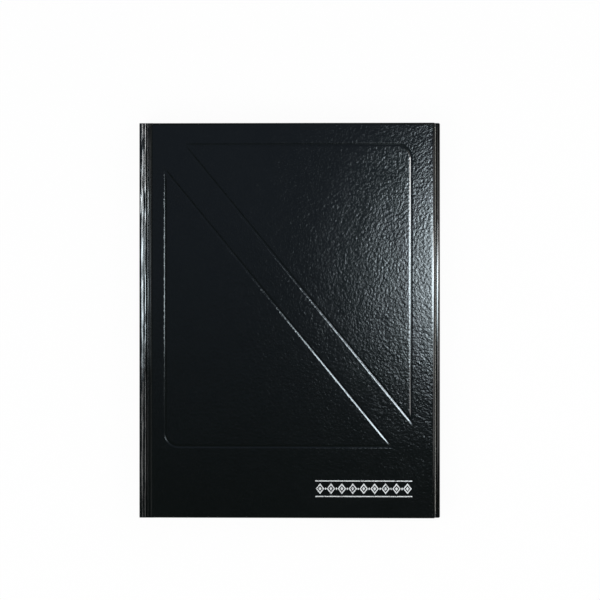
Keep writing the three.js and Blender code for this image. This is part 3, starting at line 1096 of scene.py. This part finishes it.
front_fold = fold_sheet("front_endpaper_fold")
back_fold = fold_sheet("back_endpaper_fold")
front_gauze_a = gauze_sheet("front_gauze_spine", gauze_start, groove_x)
front_gauze_b = gauze_sheet("front_gauze_board", groove_x, pasted_start)
back_gauze = gauze_sheet("back_gauze", gauze_start, pasted_start)
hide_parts("front_endpaper_joint")
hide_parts("back_endpaper_joint")
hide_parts("front_joint_mull")
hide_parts("back_joint_mull")
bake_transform(front_fold)
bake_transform(back_fold)
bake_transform(front_gauze_a)
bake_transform(front_gauze_b)
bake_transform(back_gauze)

# %% [markdown]
# A headband is a cord wound with thread in two colours, one turn beside the other, and a
# tab of tape glued down behind the folds. One turn is a torus, copied along the cord.

# %% Headband material
turn_pitch = 0.42
colours_from = 3.96
cotton_white = (0.8, 0.78, 0.7)
cotton_blue = (0.03, 0.07, 0.12)
cotton_shade = (0.3, 0.3, 0.3)


def wound_material():
    material, tree, shader = new_material("Headband cotton", cotton_white, 0.75)
    place = place_on_piece(tree)
    up = maths(tree, "SUBTRACT", split_place(tree, place)["Z"], colours_from * MM)
    turn = maths(tree, "PINGPONG", up, 2 * turn_pitch * MM)
    dark = maths(tree, "GREATER_THAN", turn, turn_pitch * MM)
    tint = blend_colours(tree, dark, opaque(cotton_white), opaque(cotton_blue))
    twist = clouds(tree, place, 5200.0, 2.0)
    tint = blend_colours(tree, maths(tree, "MULTIPLY", twist, 0.3), tint, opaque(cotton_shade))
    set_surface(tree, shader, tint, twist, 0.6, 0.04)
    return material


headband_cotton = wound_material()
print("the two colours repeat every", 4 * turn_pitch, "mm")

# %% Headbands
band_low, band_high = (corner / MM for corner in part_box("headband"))
cord_radius = 0.9
winding_radius = 0.21
core_radius = cord_radius - 0.2
tab_length = 8
tab_thickness = 0.3


def headband(name, way):
    y = way * (band_high.y - cord_radius)
    x = band_low.x + cord_radius
    low, high = band_low.z, band_high.z
    let_go()
    bpy.ops.mesh.primitive_cylinder_add(
        vertices=20, radius=core_radius * MM, depth=(high - low) * MM,
        location=(x * MM, y * MM, (low + high) / 2 * MM))
    cord = bpy.context.object
    settle(cord)
    open_piece(cord)
    pick(cord, "FACE", lambda f: abs(f.normal.z) > 0.9)
    bpy.ops.mesh.inset(thickness=0.2 * MM, depth=-0.02 * MM)
    close_piece()
    parts = [cord]
    turns = int((high - low) / turn_pitch)
    start = low + ((high - low) - (turns - 1) * turn_pitch) / 2
    for number in range(turns):
        let_go()
        bpy.ops.mesh.primitive_torus_add(
            major_radius=(cord_radius - winding_radius) * MM, minor_radius=winding_radius * MM,
            major_segments=20, minor_segments=6,
            location=(x * MM, y * MM, (start + number * turn_pitch) * MM))
        turn = bpy.context.object
        settle(turn)
        parts.append(turn)
    tab_ends = sorted((way * (leaf_half - tab_length), y))
    tab = box("tab", (band_low.x, tab_ends[0], low), (band_low.x + tab_thickness, tab_ends[1], high))
    open_piece(tab)
    pick(tab, "EDGE", lambda e: along(e, 2))
    bpy.ops.mesh.bevel(offset=0.1 * MM, segments=2, affect="EDGES")
    close_piece()
    parts.append(tab)
    return join(name, parts)


for name, node, way in (("head_bead", "headband", 1), ("tail_bead", "tailband", -1)):
    bead = headband(name, way)
    smooth(bead, 50)
    finish_piece(bead, headband_cotton)
    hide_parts(node)
    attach(bead, "text_block")

# %% [markdown]
# The pieces whose solids already have the right shape keep them: boards, gauze wings,
# lining, tapes, thread, flyleaves and pasted sheets. They only get their materials.

# %% Board, kraft, tape and thread materials
def fibre_material(name, light, dark, scale, roughness, depth):
    material, tree, shader = new_material(name, light, roughness)
    cloud = clouds(tree, place_on_piece(tree), scale, 5.0, Roughness=0.65)
    share = fade(tree, cloud, 0.35, 0.65)
    base = blend_colours(tree, share, opaque(dark), opaque(light))
    set_surface(tree, shader, base, cloud, 0.7, depth)
    return material


grey_board = fibre_material("Grey board", (0.3, 0.29, 0.27), (0.2, 0.19, 0.17), 900, 0.95, 0.06)
kraft = fibre_material("Kraft paper", (0.4, 0.25, 0.12), (0.32, 0.19, 0.09), 1300, 0.9, 0.03)
linen = fibre_material("Linen tape", (0.72, 0.67, 0.55), (0.58, 0.52, 0.4), 2600, 0.95, 0.08)
thread = fibre_material("Linen thread", (0.8, 0.76, 0.66), (0.6, 0.55, 0.44), 4200, 0.8, 0.05)
kept = {
    grey_board: ("front_board", "back_board", "spine_board"),
    gauze: ("front_mull_wing", "back_mull_wing", "spine_mull"),
    kraft: ("spine_lining",),
    thread: ("sewing_thread",),
    linen: ("sewing_tape_1", "sewing_tape_2", "sewing_tape_3"),
    endpaper: ("front_flyleaf", "back_flyleaf", "front_pastedown", "back_pastedown"),
}
for material, names in kept.items():
    for name in names:
        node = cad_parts[name]
        node.data.materials.clear()
        node.data.materials.append(material)
    print(material.name, "on", ", ".join(names))

# %% [markdown]
# The book is seen from the front and a little from the fore-edge side, from far away, so its
# sides stay parallel. The lens is long enough for the frame to be as wide as the picture.

# %% Camera
frame_width = 434.2
camera_distance = 10000
camera_tilt = math.radians(9.2)
sensor = 36
aim = Vector((9.7, 14.8, book_top))
towards = Vector((math.sin(camera_tilt), 0, math.cos(camera_tilt)))
let_go()
bpy.ops.object.camera_add(
    location=(aim + towards * camera_distance) * MM, rotation=(0, camera_tilt, 0))
camera = bpy.context.object
camera.data.sensor_width = sensor
camera.data.lens = sensor * camera_distance / frame_width
bpy.context.scene.camera = camera
print("lens", round(camera.data.lens, 1), "mm")

# %% [markdown]
# Glossy leather shows its surroundings. A window stands in its gloss on the fore-edge side,
# beside a pale wall, under a dim blue ceiling, and a far window lights the slopes of the
# pressed lines. The windows are only pictures in the gloss. A soft lamp, hidden from the
# gloss, and the world light the colours at a plain level.

# %% Lamps
near_plane = 425
far_plane = 825


def area_lamp(name, place, size, radiance, target=None):
    """A lamp of a given brightness, which looks straight down where no target is given."""
    let_go()
    bpy.ops.object.light_add(type="AREA", location=[c * MM for c in place])
    lamp = bpy.context.object
    lamp.name = name
    lamp.data.shape = "RECTANGLE"
    lamp.data.size = size[0] * MM
    lamp.data.size_y = size[1] * MM
    lamp.data.energy = 4 * size[0] * size[1] * MM * MM * radiance
    aim_at = Vector(target) - Vector(place) if target else Vector((0, 0, -1))
    lamp.rotation_euler = aim_at.to_track_quat("-Z", "Y").to_euler()
    lamp.visible_camera = False
    return lamp


window = area_lamp("window", (108, 50, near_plane), (256, 240), 19.5)
window.data.color = (0.86, 1, 1.07)
area_lamp("pale_wall", (300, 20, near_plane + 1), (250, 460), 1.0)
ceiling = area_lamp("ceiling", (-70, 100, near_plane + 2), (420, 560), 0.1)
ceiling.data.color = (0.8, 1, 1.5)
far_window = area_lamp("far_window", (385, 115, far_plane), (150, 110), 16)
area_lamp("far_wall", (385, -98, far_plane), (150, 80), 3)
soft_key = area_lamp("soft_key", (-350, -300, 900), (800, 800), 1.6, target=(0, 0, 0))
soft_key.visible_glossy = False
for lamp in (window, far_window):
    lamp.visible_diffuse = False
print("lamps:", len(bpy.data.lights))

# %% [markdown]
# The glare on the cover is soft on its spine side and at both ends, like the picture of a
# window with a curtain. So the lamp is graded: its light depends on the place on it. It
# grows from the curtain near the spine to the open pane that lights the edges and the ridge.

# %% Grade the window lamp
curtain_start = 18
curtain_width = 118
curtain_power = 2.7


def lamp_place(lamp):
    """Opens a lamp's nodes, and gives them with the place on the lamp in X, Y and Z."""
    lamp.data.use_nodes = True
    tree = lamp.data.node_tree
    return tree, split_place(tree, add_node(tree, "NewGeometry").outputs["Position"])


def grade_lamp(tree, grade):
    tree.links.new(grade, tree.nodes["Emission"].inputs["Strength"])


def fade_mm(tree, value, low, high, out_low=0.0, out_high=1.0):
    return fade(tree, value, low * MM, high * MM, out_low, out_high)


tree, place = lamp_place(window)
curtain = maths(tree, "ADD", place["X"], curtain_start * MM)
curtain = maths(tree, "DIVIDE", curtain, curtain_width * MM, clamp=True)
curtain = maths(tree, "POWER", curtain, curtain_power)
low_side = fade_mm(tree, place["Y"], -43, 17)
# One stretch of the pane reaches 45 mm higher than the rest
taller_from = fade_mm(tree, place["X"], 55, 85, 0.0, 45 * MM)
taller_to = fade_mm(tree, place["X"], 125, 150, 0.0, 45 * MM)
taller = maths(tree, "SUBTRACT", taller_from, taller_to)
high_side = maths(tree, "SUBTRACT", place["Y"], taller)
high_side = fade_mm(tree, high_side, 45, 100, 1.0, 0.0)
sides = maths(tree, "MULTIPLY", low_side, high_side)
grade_lamp(tree, maths(tree, "MULTIPLY", curtain, sides))

# %% Grade the ceiling lamp
tree, place = lamp_place(ceiling)
grade_lamp(tree, fade_mm(tree, place["Y"], -180, 120))

# %% [markdown]
# The world is white behind the book and near the horizon, and dim overhead, where a glossy
# cover would mirror it. Light Path tells apart what the camera sees, what the gloss shows and
# what lights the colours.

# %% World
mirror_overhead = 0.03
soft_share = 0.65
world = bpy.context.scene.world or bpy.data.worlds.new("World")
bpy.context.scene.world = world
world.use_nodes = True
tree = world.node_tree
tree.nodes.clear()
rays = add_node(tree, "LightPath").outputs
height = split_place(tree, add_node(tree, "TexCoord").outputs["Generated"])["Z"]
mirror = fade(tree, height, 0.0, 0.25, 1.0, mirror_overhead)
glossy = maths(tree, "MULTIPLY", mirror, rays["Is Glossy Ray"])
straight = maths(tree, "MAXIMUM", rays["Is Camera Ray"], rays["Is Transmission Ray"])
seen = maths(tree, "MAXIMUM", straight, rays["Is Glossy Ray"])
soft = maths(tree, "MULTIPLY", maths(tree, "SUBTRACT", 1.0, seen), soft_share)
level = maths(tree, "ADD", maths(tree, "ADD", straight, glossy), soft)
background = add_node(tree, "Background", Strength=level)
background.inputs["Color"].default_value = (1, 1, 1, 1)
output = add_node(tree, "OutputWorld")
tree.links.new(background.outputs[0], output.inputs[0])
print("world nodes:", len(tree.nodes))

# %% Floor
floor_size = 8
floor_drop = 0.2
white_share = 0.95
let_go()
bpy.ops.mesh.primitive_plane_add(size=floor_size, location=(0, 0, -floor_drop * MM))
floor = bpy.context.object
floor.name = "floor"
white, tree, shader = new_material("White floor", (0.85, 0.85, 0.85), 0.9)
shader.inputs["Specular IOR Level"].default_value = 0
rays = add_node(tree, "LightPath").outputs
seen = most(tree, [rays[kind] for kind in ("Is Camera Ray", "Is Glossy Ray", "Is Transmission Ray")])
glow = add_node(tree, "Emission", Strength=1.0)
mix = add_node(tree, "MixShader", i0=maths(tree, "MULTIPLY", seen, white_share))
tree.links.new(shader.outputs[0], mix.inputs[1])
tree.links.new(glow.outputs[0], mix.inputs[2])
tree.links.new(mix.outputs[0], tree.nodes["Material Output"].inputs[0])
floor.data.materials.append(white)
print("floor lies", floor_drop, "mm under the book")

# %% View settings
bpy.context.scene.view_settings.view_transform = "Standard"
